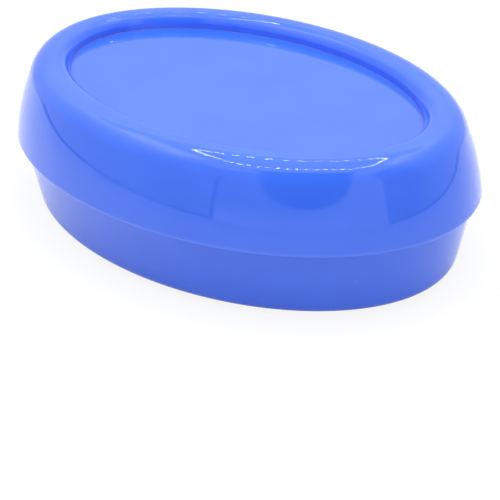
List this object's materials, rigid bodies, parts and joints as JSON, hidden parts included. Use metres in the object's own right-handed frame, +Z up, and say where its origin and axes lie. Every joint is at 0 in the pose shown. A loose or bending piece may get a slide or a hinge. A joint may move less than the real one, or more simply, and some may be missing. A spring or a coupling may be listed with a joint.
{
  "type": "magnetic pin bowl",
  "caption": "Oval lidded bowl for sewing pins: a cover whose shallow dish is magnetic, pushed onto a tapered storage tub, on anti-slip pads.",
  "frame": {"origin": "centre of the bowl's footprint, at the level of the table it stands on", "axes": "+X along the long axis of the oval, +Y across it, +Z up through the dish"},
  "size_m": [0.1098, 0.079, 0.0329],
  "materials": {
    "blue_plastic": "smooth glossy injection moulding, mid blue",
    "ferrite": "dark grey sintered ferrite, ground flat faces",
    "zinc_steel": "zinc-plated mild steel strip",
    "screw_steel": "bright zinc-plated self-tapping screws",
    "pad_rubber": "pale translucent anti-slip elastomer"
  },
  "bodies": {
    "tub": {"tub": "blue_plastic", "foot_pad_front_left": "pad_rubber", "foot_pad_front_right": "pad_rubber", "foot_pad_back_left": "pad_rubber", "foot_pad_back_right": "pad_rubber"},
    "cover": {"cover": "blue_plastic", "magnet_left": "ferrite", "magnet_middle": "ferrite", "magnet_right": "ferrite", "keeper_plate": "zinc_steel", "magnet_retainer": "blue_plastic", "retainer_screws": "screw_steel"}
  },
  "joints": [
    {"name": "cover_lift", "type": "slide", "parent": "tub", "child": "cover", "axis": [0, 0, 1], "range_m": [0, 0.045]}
  ]
}
